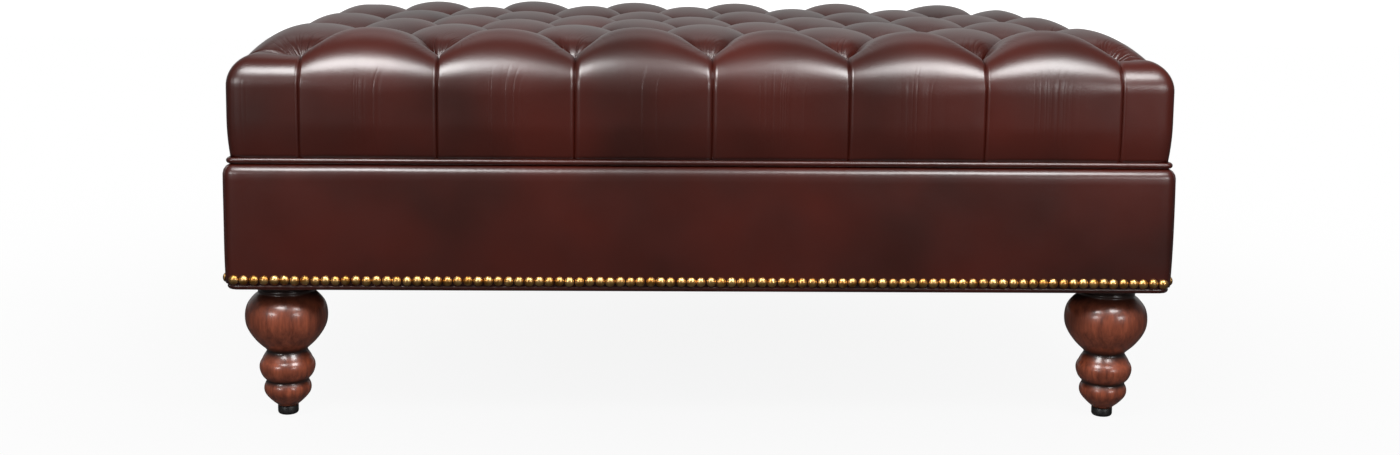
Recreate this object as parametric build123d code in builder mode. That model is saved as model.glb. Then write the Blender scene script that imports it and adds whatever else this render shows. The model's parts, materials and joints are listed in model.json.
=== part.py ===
from build123d import *
import math
import os

# A deep-tufted leather ottoman coffee table, in millimetres. +Z is up, the front
# faces -Y, and the origin is on the floor, midway between the four legs.

# Overall sizes, from leather face to leather face
ottoman_width = 1222.0
ottoman_depth = 918.0
ottoman_height = 504.0

# Box of the ottoman, a hardwood frame under padding and leather
leg_length = 172.0
glide_height = 11.7
foot_gap = 0.3
rail_height = 157.0
rail_thickness = 22.0
padding_thickness = 8.0
leather_thickness = 2.0
apron_corner_radius = 14.0
apron_edge_radius = 10.0
rail_corner_radius = 8.0
padding_corner_ease = 0.3

# Welts, the covered cords at the foot of the cushion and of the box
cushion_welt_diameter = 7.6
bottom_welt_diameter = 8.0
cushion_welt_inset = 8.0
welt_clearance = 0.05

# Dome nails above the bottom welt
nail_head_diameter = 11.0
nail_head_height = 3.4
nail_pitch = 13.0
nail_corner_inset = 12.4
nail_lift = 0.1
nail_shank_diameter = 1.8
nail_shank_length = 15.0
nail_shank_gap = 1.2
nail_hole_clearance = 0.4

# Tufting of the cushion: the outer tufts' distance from its faces, and how deep the
# pits and the folds are, as shares of the cushion's height
tuft_margin = 81.0
row_margin = 74.5
tuft_shift = 12.0
full_row_count = 7
row_count = 7
button_diameter = 21.0
button_height = 7.0
button_edge_height = 2.5
button_clearance = 1.5
pit_depth_share = 0.29326
fold_depth_share = 0.1564

# Shape of the tufted cover
cover_face_inset = 5.0
cover_thickness = 12.0
foot_draw = 6.0
side_pleat_draw = 3.0
side_bulge = 1.5
lip_height_share = 0.48225
cover_corner_radius = 32.0
pleat_width = 10.0
pleat_groove_width = 12.0
pleat_groove_depth = 4.0
pit_web = 8.0

# Shares that shape the cover: where its sections stand between a row of tufts and
# the next and between the last row and the end face, where the lip's crest stands
# between the side face and the outermost tufts, how much lower it is there and at
# a side pleat, and how much shallower the folds get at the end
puff_station_shares = (0.3, 0.7)
end_station_shares = (0.36, 0.6, 0.78, 0.9, 0.97, 1.0)
crest_run_share = 0.62
crest_drop_share = 0.06
pleat_crest_drop_share = 0.45
end_fold_loss_share = 0.6
lip_puff_rise_share = 0.03
edge_puff_rise_share = 0.4
end_lip_roundness = 2.6
puff_roundness = 3.0

# Filling and deck under the cover
deck_thickness = 15.0
wadding_thickness = 5.0
core_corner_radius = 30.0
core_edge_chamfer = 28.0

# Twine that pulls the buttons down, and its washers under the deck
twine_diameter = 2.5
twine_clearance = 0.6
knot_diameter = 6.0
tie_washer_diameter = 22.0
tie_washer_thickness = 2.0
deck_hole_diameter = 8.0

# Turned legs and what fixes them
leg_block_size = 70.0
leg_block_height = 50.0
leg_block_chamfer = 18.0
ball_radius = 53.7
neck_radius = 36.0
collar_radius = 38.5
collar_height = 6.0
bead_depth = 1.4
upper_groove_radius = 26.4
upper_ring_radius = 36.4
lower_groove_radius = 27.2
lower_ring_radius = 31.0
ankle_radius = 13.6

# Levels of the turning, as shares of the leg's length above its foot
neck_share = 0.9012
ball_share = 0.6948
upper_groove_share = 0.4360
upper_ring_share = 0.3081
lower_groove_share = 0.2006
lower_ring_share = 0.1308

# Shares of the way from one point of the leg's outline to the next, across and up
bead_share = 0.5
ball_top_shares = (0.76, 0.38)
ball_foot_shares = (0.72, 0.48)
ring_top_shares = (0.72, 0.55)
ring_foot_shares = (0.7, 0.42)
foot_ring_shares = (0.8, 0.62)

# Bolt that fixes a leg, and its T-nut in the corner block
hanger_bolt_diameter = 8.0
hanger_bolt_depth = 40.0
hanger_bolt_stand = 3.0
bolt_clearance = 0.2
t_nut_barrel_diameter = 11.0
t_nut_barrel_length = 14.0
t_nut_flange_diameter = 24.0
t_nut_flange_thickness = 1.6

# Levelling glides in the feet
glide_travel = 10.0
glide_diameter = 27.2
glide_floor_diameter = 19.0
stem_diameter = 8.0
stem_hold = 26.0
stem_bore_spare = 4.0
stem_socket_depth = 6.0
stem_clearance = 0.3
socket_clearance = 0.05
insert_diameter = 12.0
insert_length = 20.0

# Screws, cleats and cross rails of the frame
screw_diameter = 4.5
screw_head_diameter = 8.5
screw_head_height = 3.0
rail_screw_length = 60.0
# The two rails' screws cross in a corner block, one pair above the other
long_rail_screw_share = 0.35
short_rail_screw_share = 0.65
deck_screw_length = 34.0
screw_clearance = 0.2
cleat_size = 25.0
cross_rail_height = 60.0
cross_rail_pitch_share = 1.25
screw_end_margin = 35.0
deck_screws_per_cleat = 4
deck_screw_end_inset = 150.0

# Dust cover under the frame, and its staples
dust_cover_thickness = 1.0
dust_cover_inset = 10.0
leg_hole_clearance = 0.6
staple_width = 10.0
staple_wire = 1.0
staple_leg = 8.0
staple_pitch = 95.0
staple_clearance = 0.15

# Levels and half sizes that the values above give
half_width = ottoman_width / 2
half_depth = ottoman_depth / 2
foot_level = glide_height + foot_gap
frame_bottom = foot_level + leg_length
rail_top = frame_bottom + rail_height
leather_top = rail_top + leather_thickness
rail_face_x = half_width - leather_thickness - padding_thickness
rail_face_y = half_depth - leather_thickness - padding_thickness
rail_inner_x = rail_face_x - rail_thickness
rail_inner_y = rail_face_y - rail_thickness
bottom_welt_level = frame_bottom
band_bottom = bottom_welt_level + bottom_welt_diameter / 2
nail_level = band_bottom + nail_lift + nail_head_diameter / 2
cushion_welt_radius = cushion_welt_diameter / 2
welt_rise = math.sqrt(
    (apron_edge_radius + cushion_welt_radius + welt_clearance) ** 2
    - (apron_edge_radius - cushion_welt_inset) ** 2
)
cushion_welt_level = leather_top - apron_edge_radius + welt_rise
cushion_foot = cushion_welt_level + cushion_welt_radius + welt_clearance
cushion_rise = ottoman_height - cushion_foot
pit_depth = cushion_rise * pit_depth_share
fold_depth = cushion_rise * fold_depth_share
lip_height = cushion_rise * lip_height_share
cover_half_width = half_width - cover_face_inset
cover_half_depth = half_depth - cover_face_inset
tuft_pitch = 2 * (cover_half_width - tuft_margin) / (full_row_count - 1)
row_spacing = 2 * (cover_half_depth - row_margin) / (row_count - 1)
core_half_width = cover_half_width - cover_thickness
core_half_depth = cover_half_depth - cover_thickness
deck_top = leather_top + deck_thickness
pit_level = ottoman_height - pit_depth
core_top = pit_level - pit_web
leg_x = rail_inner_x - leg_block_size / 2
leg_y = rail_inner_y - leg_block_size / 2
last_row_y = (row_count - 1) / 2 * row_spacing
neck_level = foot_level + leg_length * neck_share
ball_level = foot_level + leg_length * ball_share
upper_groove_level = foot_level + leg_length * upper_groove_share
upper_ring_level = foot_level + leg_length * upper_ring_share
lower_groove_level = foot_level + leg_length * lower_groove_share
lower_ring_level = foot_level + leg_length * lower_ring_share
block_top = frame_bottom + leg_block_height
cleat_reach_x = rail_inner_x - cleat_size
stem_length = stem_hold + glide_travel
button_seat = button_diameter / 2 + button_clearance
end_margin = cover_half_depth - last_row_y
side_nail_corner_inset = nail_shank_length + nail_shank_diameter + nail_shank_gap
clear_cut = 2.0

# Sides of the box: outward direction, run of the side, distance of its leather
# face from the middle, half length of its face, and distance of its rail face
SIDES = {
    "front": ((0, -1, 0), (1, 0, 0), half_depth, half_width, rail_face_y),
    "right": ((1, 0, 0), (0, 1, 0), half_width, half_depth, rail_face_x),
    "rear": ((0, 1, 0), (-1, 0, 0), half_depth, half_width, rail_face_y),
    "left": ((-1, 0, 0), (0, -1, 0), half_width, half_depth, rail_face_x),
}
CORNERS = {
    "front_left": (-1, -1),
    "front_right": (1, -1),
    "rear_left": (-1, 1),
    "rear_right": (1, 1),
}

os.makedirs("parts", exist_ok=True)


def save(piece, name):
    """Labels one finished piece and writes it to its own file."""
    piece.label = name
    export_step(piece, "parts/" + name + ".step")


def side_plane(side, distance, level):
    """Plane across a side, facing outward, with its run level and its Y up."""
    outward, run, _, _, _ = SIDES[side]
    origin = (outward[0] * distance, outward[1] * distance, level)
    return Plane(origin=origin, x_dir=run, z_dir=outward)


def slab(x_range, y_range, z_range):
    """Sketches and extrudes one plain block, between its two ends each way."""
    width = x_range[1] - x_range[0]
    length = y_range[1] - y_range[0]
    with BuildSketch(Plane.XY.offset(z_range[0])) as profile:
        with Locations((sum(x_range) / 2, sum(y_range) / 2)):
            Rectangle(width, length)
    extrude(profile.sketch, amount=z_range[1] - z_range[0])


def side_wedge(side):
    """Cuts the part in hand down to one side of the box, mitred at its corners."""
    reach_x = half_width + nail_shank_length
    reach_y = half_depth + nail_shank_length
    ridge = half_width - half_depth
    outline = {
        "front": [(-reach_x, -reach_y), (reach_x, -reach_y), (ridge, 0), (-ridge, 0)],
        "rear": [(reach_x, reach_y), (-reach_x, reach_y), (-ridge, 0), (ridge, 0)],
        "right": [(reach_x, -reach_y), (reach_x, reach_y), (ridge, 0)],
        "left": [(-reach_x, reach_y), (-reach_x, -reach_y), (-ridge, 0)],
    }[side]
    with BuildSketch() as profile:
        Polygon(*outline, align=None)
    extrude(profile.sketch, amount=ottoman_height, mode=Mode.INTERSECT)


def nail_spots(side):
    """Places along a side of its nails, as many as fit at about the nail pitch."""
    inset = nail_corner_inset if side in ("front", "rear") else side_nail_corner_inset
    half_run = SIDES[side][3] - inset
    spaces = round(2 * half_run / nail_pitch)
    return [-half_run + 2 * half_run * i / spaces for i in range(spaces + 1)]


def nail_holes(side):
    """Bores the nail shanks' holes of a side through the part in hand."""
    reach = nail_shank_length + nail_hole_clearance
    with BuildSketch(side_plane(side, SIDES[side][2] - reach, nail_level)) as profile:
        with Locations(*[(spot, 0) for spot in nail_spots(side)]):
            Circle((nail_shank_diameter + nail_hole_clearance) / 2)
    extrude(profile.sketch, amount=reach + clear_cut, mode=Mode.SUBTRACT)


def tuft_spots():
    """Buttons' places: full rows of seven, and six between them in the others."""
    spots = []
    for row in range(row_count):
        count = full_row_count - row % 2
        y = row * row_spacing - last_row_y
        for column in range(count):
            x = (column - (count - 1) / 2) * tuft_pitch + tuft_shift
            spots.append((x, y))
    return spots


# Frame: screw places first, because rails, blocks and screws share them
def block_screw_spots(side):
    """Screws through a rail into the two corner blocks behind it: run and level."""
    along = leg_x if side in ("front", "rear") else leg_y
    level_share = long_rail_screw_share if side in ("front", "rear") else short_rail_screw_share
    step = leg_block_size / 4
    level = frame_bottom + leg_block_height * level_share
    return [(s * (along + e * step), level) for s in (-1, 1) for e in (-1, 1)]


def joint_screw_spots():
    """Screws through a long rail into the ends of the short rails and cross rails."""
    run = rail_inner_x + rail_thickness / 2
    low = block_top + screw_end_margin / 2
    high = rail_top - screw_end_margin / 2
    spots = [(s * run, z) for s in (-1, 1) for z in (low, high)]
    cross_middle = leather_top - cross_rail_height / 2
    cross_step = cross_rail_height / 4
    for x in cross_rail_spots():
        spots += [(x, cross_middle - cross_step), (x, cross_middle + cross_step)]
    return spots


def cross_rail_spots():
    """The two cross rails stand midway between columns of tufts."""
    return [tuft_shift + s * tuft_pitch * cross_rail_pitch_share for s in (-1, 1)]


def screw_bores(plane, spots, length, head_inside=True):
    """Bores for countersunk screws that enter the part in hand from a plane."""
    radius = (screw_diameter + screw_clearance) / 2
    with BuildSketch(plane) as profile:
        with Locations(*spots):
            Circle(radius)
    extrude(profile.sketch, amount=-(length + screw_clearance), mode=Mode.SUBTRACT)
    if head_inside:
        with BuildSketch(plane) as profile:
            with Locations(*spots):
                Circle((screw_head_diameter + screw_clearance) / 2)
        extrude(profile.sketch, amount=-(screw_head_height + screw_clearance), mode=Mode.SUBTRACT)


def frame_screws(plane, spots, length):
    """Adds flat-head screws, heads level with the plane, one at each spot."""
    with BuildSketch(plane.offset(-screw_head_height)) as profile:
        with Locations(*spots):
            Circle(screw_head_diameter / 2)
    extrude(profile.sketch, amount=screw_head_height)
    with BuildSketch(plane.offset(-length)) as profile:
        with Locations(*spots):
            Circle(screw_diameter / 2)
    extrude(profile.sketch, amount=length)


def long_rail_spots(side):
    """A long rail's screws, with its run turned for the rear side."""
    turn = 1 if side == "front" else -1
    spots = block_screw_spots(side) + joint_screw_spots()
    return [(x * turn, z) for x, z in spots]


def staple_spots(side):
    """Places along a side of the dust cover's staples, clear of the legs."""
    half_run = (leg_x if side in ("front", "rear") else leg_y) - leg_block_size / 2
    spaces = round(2 * half_run / staple_pitch)
    return [-half_run + 2 * half_run * i / spaces for i in range(spaces + 1)]


def staple_centres():
    """Staples' places in plan with the way they lie: along X or along Y."""
    centres = []
    inset = rail_thickness / 2
    for spot in staple_spots("front"):
        for s in (-1, 1):
            centres.append((spot, s * (rail_face_y - inset), 0))
    for spot in staple_spots("left"):
        for s in (-1, 1):
            centres.append((s * (rail_face_x - inset), spot, 90))
    return centres


def staple_slots():
    """Cuts a slot for each staple up into the part in hand, from below."""
    level = frame_bottom - dust_cover_thickness - clear_cut
    with BuildSketch(Plane.XY.offset(level)) as profile:
        for x, y, turn in staple_centres():
            with Locations(Location((x, y, 0), turn)):
                Rectangle(
                    staple_width + 2 * staple_clearance,
                    staple_wire + 2 * staple_clearance,
                )
    extrude(
        profile.sketch,
        amount=clear_cut + dust_cover_thickness + staple_leg + staple_clearance,
        mode=Mode.SUBTRACT,
    )


# Front and rear rails run the full width, and the short rails stand between them
for side in ("front", "rear"):
    sign = SIDES[side][0][1]
    with BuildPart() as long_rail:
        slab(
            (-rail_face_x, rail_face_x),
            sorted((sign * rail_inner_y, sign * rail_face_y)),
            (frame_bottom, rail_top),
        )
        face = long_rail.faces().sort_by(Axis.Y)[-1 if sign > 0 else 0]
        fillet(face.edges().filter_by(Axis.Z), radius=rail_corner_radius)
        screw_bores(
            side_plane(side, rail_face_y, 0), long_rail_spots(side), rail_screw_length
        )
        for nailed_side in (side, "left", "right"):
            nail_holes(nailed_side)
        staple_slots()
    save(long_rail.part, side + "_rail")

for side in ("left", "right"):
    sign = SIDES[side][0][0]
    with BuildPart() as short_rail:
        slab(
            sorted((sign * rail_inner_x, sign * rail_face_x)),
            (-rail_inner_y, rail_inner_y),
            (frame_bottom, rail_top),
        )
        screw_bores(
            side_plane(side, rail_face_x, 0), block_screw_spots(side), rail_screw_length
        )
        for joint_side in ("front", "rear"):
            screw_bores(
                side_plane(joint_side, rail_face_y, 0),
                long_rail_spots(joint_side),
                rail_screw_length,
                head_inside=False,
            )
        nail_holes(side)
        staple_slots()
    save(short_rail.part, side + "_rail")

# Cross rails under the deck, screwed through the front and rear rails
for name, x in zip(("left_cross_rail", "right_cross_rail"), cross_rail_spots()):
    with BuildPart() as cross_rail:
        slab(
            (x - rail_thickness / 2, x + rail_thickness / 2),
            (-rail_inner_y, rail_inner_y),
            (leather_top - cross_rail_height, leather_top),
        )
        for side in ("front", "rear"):
            screw_bores(
                side_plane(side, rail_face_y, 0),
                long_rail_spots(side),
                rail_screw_length,
                head_inside=False,
            )
    save(cross_rail.part, name)


def deck_screw_spots():
    """Screws up through the two cleats into the deck."""
    run = core_half_depth - deck_screw_end_inset
    middle = rail_inner_x - cleat_size / 2
    last = deck_screws_per_cleat - 1
    runs = [-run + 2 * run * i / last for i in range(deck_screws_per_cleat)]
    return [(s * middle, y) for s in (-1, 1) for y in runs]


# The cleats' screws enter from below, so their plane faces down, and its Y axis
# points to -Y: the places are turned over to match
deck_screw_plane = Plane(
    origin=(0, 0, leather_top - cleat_size), x_dir=(1, 0, 0), z_dir=(0, 0, -1)
)
deck_screw_places = [(x, -y) for x, y in deck_screw_spots()]

for side, sign in (("left", -1), ("right", 1)):
    with BuildPart() as cleat:
        slab(
            sorted((sign * cleat_reach_x, sign * rail_inner_x)),
            (-rail_inner_y, rail_inner_y),
            (leather_top - cleat_size, leather_top),
        )
        screw_bores(deck_screw_plane, deck_screw_places, deck_screw_length)
    save(cleat.part, side + "_cleat")

# Corner blocks take the screws of both rails and the bolt of a leg
for corner, (sx, sy) in CORNERS.items():
    with BuildPart() as block:
        slab(
            sorted((sx * rail_inner_x, sx * (rail_inner_x - leg_block_size))),
            sorted((sy * rail_inner_y, sy * (rail_inner_y - leg_block_size))),
            (frame_bottom, block_top),
        )
        inner_edge = block.edges().filter_by(Axis.Z).sort_by(
            lambda edge: abs(edge.center().X) + abs(edge.center().Y)
        )[0]
        chamfer(inner_edge, length=leg_block_chamfer)
        with BuildSketch(Plane.XY.offset(frame_bottom)):
            with Locations((sx * leg_x, sy * leg_y)):
                Circle((t_nut_barrel_diameter + bolt_clearance) / 2)
        extrude(amount=leg_block_height, mode=Mode.SUBTRACT)
        for side in ("front", "rear"):
            screw_bores(
                side_plane(side, rail_face_y, 0),
                long_rail_spots(side),
                rail_screw_length,
                head_inside=False,
            )
        for side in ("left", "right"):
            screw_bores(
                side_plane(side, rail_face_x, 0),
                block_screw_spots(side),
                rail_screw_length,
                head_inside=False,
            )
    save(block.part, corner + "_corner_block")

with BuildPart() as rail_screws:
    for side in ("front", "rear"):
        seat = side_plane(side, rail_face_y - screw_clearance, 0)
        frame_screws(seat, long_rail_spots(side), rail_screw_length)
    for side in ("left", "right"):
        seat = side_plane(side, rail_face_x - screw_clearance, 0)
        frame_screws(seat, block_screw_spots(side), rail_screw_length)
save(rail_screws.part, "frame_screws")

with BuildPart() as deck_screws:
    frame_screws(deck_screw_plane, deck_screw_places, deck_screw_length)
save(deck_screws.part, "deck_screws")


# Padding and leather of the box
def rolled_form(inset, top):
    """Solid form of the box at an inset from its leather face, its top edge rolled."""
    with BuildPart() as form:
        with BuildSketch(Plane.XY.offset(band_bottom)):
            RectangleRounded(
                ottoman_width - 2 * inset,
                ottoman_depth - 2 * inset,
                apron_corner_radius - inset,
            )
        extrude(amount=top - band_bottom)
        fillet(form.faces().sort_by(Axis.Z)[-1].edges(), radius=apron_edge_radius - inset)
    return form.part


leather_outside = rolled_form(0, leather_top)
leather_inside = rolled_form(leather_thickness, rail_top)

with BuildPart() as leather_ring:
    add(leather_outside)
    add(leather_inside, mode=Mode.SUBTRACT)
    with BuildSketch(Plane.XY.offset(rail_top)):
        Rectangle(2 * rail_inner_x, 2 * rail_inner_y)
    extrude(amount=leather_thickness, mode=Mode.SUBTRACT)

with BuildPart() as padding_ring:
    add(leather_inside)
    with BuildSketch(Plane.XY.offset(band_bottom)):
        inner_radius = rail_corner_radius - padding_corner_ease
        RectangleRounded(2 * rail_face_x, 2 * rail_face_y, inner_radius)
    extrude(amount=rail_top - band_bottom, mode=Mode.SUBTRACT)

for side in SIDES:
    with BuildPart() as leather_band:
        add(leather_ring.part)
        side_wedge(side)
        nail_holes(side)
    save(leather_band.part, side + "_apron_leather")
    with BuildPart() as padding_band:
        add(padding_ring.part)
        side_wedge(side)
        for nailed_side in SIDES:
            nail_holes(nailed_side)
    save(padding_band.part, side + "_apron_padding")


# Welts, each swept round the box and cut at the corners into its four sides
def welt_ring(half_x, half_y, level, diameter, corner_radius):
    """One covered cord round the ottoman, on its centre line's half sizes."""
    with BuildPart() as ring:
        with BuildLine(Plane.XY.offset(level)) as path:
            FilletPolyline(
                (-half_x, -half_y),
                (half_x, -half_y),
                (half_x, half_y),
                (-half_x, half_y),
                radius=corner_radius,
                close=True,
            )
        with BuildSketch(Plane(origin=path.wire() @ 0, z_dir=path.wire() % 0)):
            Circle(diameter / 2)
        sweep(path=path.wire())
    return ring.part


cushion_welt = welt_ring(
    half_width - cushion_welt_inset,
    half_depth - cushion_welt_inset,
    cushion_welt_level,
    cushion_welt_diameter,
    apron_corner_radius - cushion_welt_inset,
)
bottom_welt_stand = bottom_welt_diameter / 2 + welt_clearance
bottom_welt = welt_ring(
    rail_face_x + bottom_welt_stand,
    rail_face_y + bottom_welt_stand,
    bottom_welt_level - welt_clearance,
    bottom_welt_diameter,
    rail_corner_radius + bottom_welt_stand,
)

for side in SIDES:
    for ring, name in ((cushion_welt, "_cushion_welt"), (bottom_welt, "_bottom_welt")):
        with BuildPart() as welt:
            add(ring)
            side_wedge(side)
        save(welt.part, side + name)


# Dome nails, one row to a side
def dome_arc(radius, base, top):
    """Half of a round dome's outline, from its rim at the base in to its top."""
    rise = top - base
    crown_radius = (radius**2 + rise**2) / (2 * rise)
    middle = radius / 2
    lift = rise - crown_radius + math.sqrt(crown_radius**2 - middle**2)
    ThreePointArc((radius, base), (middle, base + lift), (0, top))


def dome_nail():
    """One nail: a domed head on a thin shank, standing along +Z."""
    radius = nail_head_diameter / 2
    with BuildPart() as nail:
        with BuildSketch(Plane.XZ):
            with BuildLine():
                dome_arc(radius, 0, nail_head_height)
                Polyline((0, nail_head_height), (0, 0), (radius, 0))
            make_face()
        revolve(axis=Axis.Z)
        with BuildSketch(Plane.XY.offset(-nail_shank_length)):
            Circle(nail_shank_diameter / 2)
        extrude(amount=nail_shank_length)
    return nail.part


nail = dome_nail()
for side in SIDES:
    face = side_plane(side, SIDES[side][2], nail_level)
    places = [face * Location((spot, 0, 0)) for spot in nail_spots(side)]
    row = Compound(children=[nail.moved(place) for place in places])
    save(row, side + "_nails")


# Deck board, filling and wadding under the cover
def core_form(inset, bottom, top):
    """Block of the cushion's inside with rounded corners and a bevelled top edge."""
    with BuildPart() as form:
        with BuildSketch(Plane.XY.offset(bottom)):
            RectangleRounded(
                2 * (core_half_width - inset),
                2 * (core_half_depth - inset),
                core_corner_radius - inset,
            )
        extrude(amount=top - bottom)
        rim = form.faces().sort_by(Axis.Z)[-1].edges()
        chamfer(rim, length=core_edge_chamfer - inset)
    return form.part


def tuft_holes(diameter, bottom, top):
    """Bores a hole at each tuft through the part in hand."""
    with BuildSketch(Plane.XY.offset(bottom)) as profile:
        with Locations(*tuft_spots()):
            Circle(diameter / 2)
    extrude(profile.sketch, amount=top - bottom, mode=Mode.SUBTRACT)


with BuildPart() as deck:
    with BuildSketch(Plane.XY.offset(leather_top)):
        RectangleRounded(2 * core_half_width, 2 * core_half_depth, core_corner_radius)
    extrude(amount=deck_thickness)
    tuft_holes(deck_hole_diameter, leather_top, deck_top)
    screw_bores(deck_screw_plane, deck_screw_places, deck_screw_length, False)
save(deck.part, "deck_board")

core_outside = core_form(0, deck_top, core_top)
core_inside = core_form(wadding_thickness, deck_top, core_top - wadding_thickness)
twine_hole = twine_diameter + twine_clearance

with BuildPart() as foam:
    add(core_inside)
    tuft_holes(twine_hole, deck_top, core_top)
save(foam.part, "foam_pad")

with BuildPart() as wadding:
    add(core_outside)
    add(core_inside, mode=Mode.SUBTRACT)
    tuft_holes(twine_hole, deck_top, core_top)
save(wadding.part, "wadding")


# Tufted cover: sections across the cushion, one after another from front to rear.
# A section's points are (x, height above the foot). A tuft's zone is a pit in its
# own row, and it widens to a whole puff by the next row.
def lip_level(share):
    """Height of the crown over the end lip, at a share of the way to the face."""
    fall = 1 - (1 - share**end_lip_roundness) ** (1 / end_lip_roundness)
    return cushion_rise - lip_height * fall


def end_inset(share):
    """How far the side face stands in at a share of the way to the end face."""
    into_corner = share * end_margin - (end_margin - cover_corner_radius)
    if into_corner <= 0:
        return 0.0
    rest = math.sqrt(max(cover_corner_radius**2 - into_corner**2, 0.0))
    return cover_corner_radius - rest


def stations():
    """Sections' places, each a Y, how far it is from a full row to the next half
    row, and how far from the last row to the end face, both as shares."""
    places = []
    for share in reversed(end_station_shares):
        places.append((-last_row_y - share * end_margin, 0.0, share))
    for row in range(row_count):
        middle = row * row_spacing - last_row_y
        blend = row % 2
        places += [(middle - button_seat, blend, 0.0), (middle + button_seat, blend, 0.0)]
        if row < row_count - 1:
            for share in puff_station_shares:
                way = share if blend == 0 else 1 - share
                places.append((middle + share * row_spacing, way, 0.0))
    for share in end_station_shares:
        places.append((last_row_y + share * end_margin, 0.0, share))
    return places


def bulge(start, end, lift):
    """Arc between two points, or a line where it doesn't rise."""
    if lift <= 0:
        Line(start, end)
    else:
        middle = ((start[0] + end[0]) / 2, (start[1] + end[1]) / 2 + lift)
        ThreePointArc(start, middle, end)


def lip_arc(side, foot, crest):
    """Rounded lip, upright where it leaves the side and rising in to its crest."""
    run, height = abs(side - crest[0]), crest[1] - foot
    radius = (run**2 + height**2) / (2 * run)
    half_turn = math.asin(min(height / radius, 1.0)) / 2
    inward = math.copysign(radius * (1 - math.cos(half_turn)), side)
    middle = (side - inward, foot + radius * math.sin(half_turn))
    return (side, foot), middle, crest


def cover_section(y, blend, end_share):
    """One section's outline: sides, lips, and the pits and puffs between them."""
    crown = cushion_rise
    squash = lip_level(end_share) / crown
    side_row = blend == 0 and end_share == 0
    if end_share > 0:
        half_zone = pleat_width / 2
        fold = crown - fold_depth * (1 - end_fold_loss_share * end_share)
        own_rise, next_rise = 0.0, crown - fold
    else:
        half_zone = button_seat + (tuft_pitch / 2 - 2 * button_seat) * blend
        fold = crown - (pit_depth if blend in (0, 1) else fold_depth)
        own_rise = crown - pit_depth * (1 - blend) ** puff_roundness - fold
        next_rise = crown - pit_depth * blend**puff_roundness - fold

    columns = full_row_count - 1
    first = tuft_shift - columns / 2 * tuft_pitch
    side = cover_half_width - end_inset(end_share) - (side_pleat_draw if side_row else 0)
    drop = fold_depth * (pleat_crest_drop_share if side_row else crest_drop_share)
    lip_rise = 0.0 if side_row else lip_puff_rise_share * pit_depth
    outer_fold = fold if side_row or end_share > 0 else crown - lip_rise
    outer_zone = min(half_zone, button_seat)
    outer_right = first + columns * tuft_pitch + outer_zone
    outer_left = first - outer_zone
    foot = (crown - lip_height) * squash

    def at(x, height):
        """Point of the section, its height squashed towards the end face."""
        return (x, height * squash)

    def crest(face, outer):
        """Crest of a lip, between the side face and the outermost tuft's zone."""
        return at(face + (outer - face) * crest_run_share, crown - drop)

    crest_right = crest(cover_half_width, outer_right)
    crest_left = crest(-cover_half_width, outer_left)
    edge_right, edge_left = at(outer_right, outer_fold), at(outer_left, outer_fold)
    plane = Plane(origin=(0, y, cushion_foot), x_dir=(1, 0, 0), z_dir=(0, -1, 0))
    with BuildSketch(plane) as section:
        with BuildLine():
            Line((-side + foot_draw, 0), (side - foot_draw, 0))
            ThreePointArc((side - foot_draw, 0), (side - side_bulge, foot / 2), (side, foot))
            ThreePointArc(*lip_arc(side, foot, crest_right))
            bulge(crest_right, edge_right, lip_rise * squash)
            for step in range(columns, -1, -1):
                x = first + step * tuft_pitch
                right = at(x + half_zone, fold) if step < columns else edge_right
                left = at(x - half_zone, fold) if step > 0 else edge_left
                outer = step in (0, columns) and not side_row and end_share == 0
                bulge(right, left, own_rise * squash * (edge_puff_rise_share if outer else 1))
                if step > 0:
                    bulge(left, at(x - tuft_pitch + half_zone, fold), next_rise * squash)
            bulge(edge_left, crest_left, lip_rise * squash)
            ThreePointArc(*lip_arc(-side, foot, crest_left))
            ThreePointArc((-side, foot), (-side + side_bulge, foot / 2), (-side + foot_draw, 0))
        make_face()
    return section.sketch


def pleat_grooves():
    """Narrow grooves of the pleats down the four faces of the cushion."""
    half, deep = pleat_groove_width / 2, pleat_groove_depth
    height = cushion_rise - lip_height
    columns = full_row_count - 1
    with BuildSketch(Plane.XY.offset(cushion_foot)) as profile:
        for step in range(full_row_count):
            x = tuft_shift + (step - columns / 2) * tuft_pitch
            for s in (-1, 1):
                y = s * cover_half_depth
                tip, back = (x, y - s * deep), y + s * deep
                Polygon(tip, (x - half, back), (x + half, back), align=None)
        for row in range(0, row_count, 2):
            y = row * row_spacing - last_row_y
            for s in (-1, 1):
                x = s * (cover_half_width - side_pleat_draw)
                tip, back = (x - s * deep, y), x + s * (deep + foot_draw)
                Polygon(tip, (back, y - half), (back, y + half), align=None)
    extrude(profile.sketch, amount=height, mode=Mode.SUBTRACT)


with BuildPart() as cover:
    loft([cover_section(*place) for place in stations()], ruled=True)
    pleat_grooves()
    add(core_outside, mode=Mode.SUBTRACT)
    with BuildSketch(Plane.XY.offset(leather_top)):
        RectangleRounded(2 * core_half_width, 2 * core_half_depth, core_corner_radius)
    extrude(amount=deck_thickness, mode=Mode.SUBTRACT)
    tuft_holes(twine_hole, deck_top, pit_level + clear_cut)
save(cover.part, "tufted_cover")


# Buttons, twine and tie washers, one of each at every tuft
def covered_button():
    """One leather-covered button, domed above a flat seat."""
    radius = button_diameter / 2
    with BuildPart() as button:
        with BuildSketch(Plane.XZ):
            with BuildLine():
                dome_arc(radius, button_edge_height, button_height)
                Polyline((0, button_height), (0, 0), (radius, 0), (radius, button_edge_height))
            make_face()
        revolve(axis=Axis.Z)
    return button.part


def tuft_twine():
    """Twine from a button's seat down to the knot below its washer."""
    low = leather_top - tie_washer_thickness
    knot_drop = math.sqrt(knot_diameter**2 - twine_diameter**2) / 2
    with BuildPart() as twine:
        with BuildSketch(Plane.XY.offset(low)):
            Circle(twine_diameter / 2)
        extrude(amount=pit_level - low)
        with Locations((0, 0, low - knot_drop)):
            Sphere(knot_diameter / 2)
    return twine.part


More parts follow.
